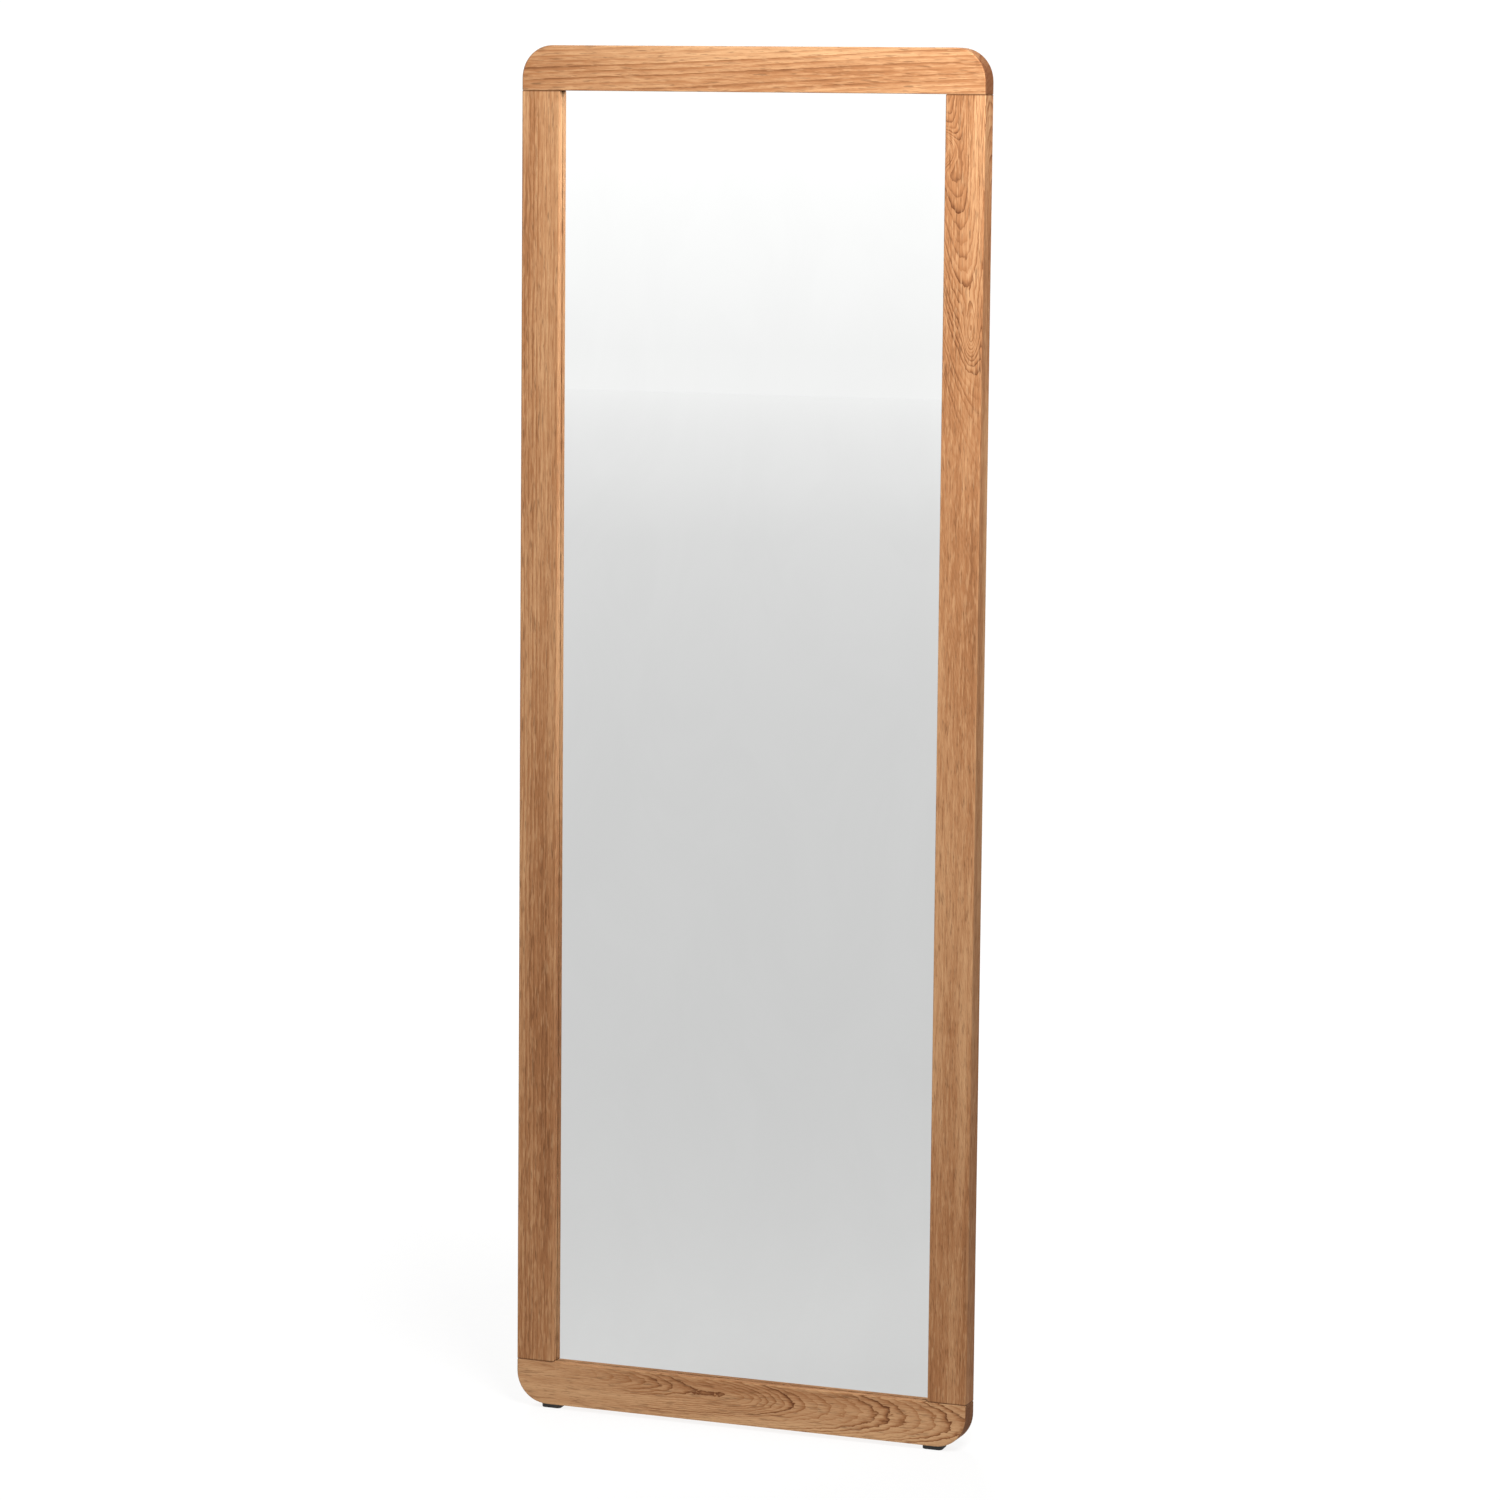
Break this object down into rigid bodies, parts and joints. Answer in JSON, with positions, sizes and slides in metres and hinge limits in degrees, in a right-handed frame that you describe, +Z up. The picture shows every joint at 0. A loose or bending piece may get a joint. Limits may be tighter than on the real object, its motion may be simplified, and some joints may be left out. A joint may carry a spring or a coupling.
{
  "type": "floor mirror",
  "caption": "Full-length wood-framed floor mirror that leans back on a ladder-shaped rear leg, which folds flat against its back.",
  "frame": {"origin": "on the floor, under the middle of the whole mirror's box with the leg open", "axes": "+Z up, +X to the right of somebody who looks into the glass, +Y behind the mirror"},
  "size_m": [0.6, 0.2639, 1.7031],
  "materials": {
    "frame_wood": "warm brown hardwood, satin oil",
    "leg_wood": "same hardwood, planed and oiled",
    "bead_wood": "planed, unfinished",
    "dowel_wood": "beech, unfinished",
    "hardboard": "smooth brown hardboard",
    "silvered_glass": "polished silvered float glass",
    "foam_tape": "black foam",
    "black_rubber": "matt moulded rubber",
    "bracket_steel": "zinc-plated folded sheet",
    "zinc_steel": "bright zinc plate",
    "bright_steel": "drawn wire",
    "white_nylon": "natural nylon",
    "bush_brass": "turned brass"
  },
  "bodies": {
    "root": {"top_rail": "frame_wood", "bottom_rail": "frame_wood", "left_stile": "frame_wood", "right_stile": "frame_wood", "frame_dowels": "dowel_wood", "glazing_tape": "foam_tape", "mirror_glass": "silvered_glass", "setting_blocks": "black_rubber", "backing_board": "hardboard", "bead_left": "bead_wood", "bead_right": "bead_wood", "bead_top": "bead_wood", "bead_bottom": "bead_wood", "bead_pins": "bright_steel", "hinge_rail": "leg_wood", "hinge_rail_screws": "zinc_steel", "hinge_bracket_left": "bracket_steel", "hinge_bracket_right": "bracket_steel", "bracket_screws": "zinc_steel", "pivot_bolt_left": "zinc_steel", "pivot_bolt_right": "zinc_steel", "pivot_nut_left": "zinc_steel", "pivot_nut_right": "zinc_steel", "pivot_washers": "white_nylon", "front_foot_left": "black_rubber", "front_foot_right": "black_rubber", "front_foot_screws": "zinc_steel", "fold_bumper_left": "black_rubber", "fold_bumper_right": "black_rubber"},
    "leg": {"leg_post_left": "leg_wood", "leg_post_right": "leg_wood", "leg_upper_rail": "leg_wood", "leg_lower_rail": "leg_wood", "leg_dowels": "dowel_wood", "pivot_bushes": "bush_brass", "rear_foot_left": "black_rubber", "rear_foot_right": "black_rubber", "rear_foot_screws": "zinc_steel"}
  },
  "joints": [
    {"name": "leg_fold", "type": "hinge", "parent": "root", "child": "leg", "pos_m": [0, -0.00795, 1.14063], "axis": [-1, 0, 0], "range_deg": [0, 10.17]}
  ]
}
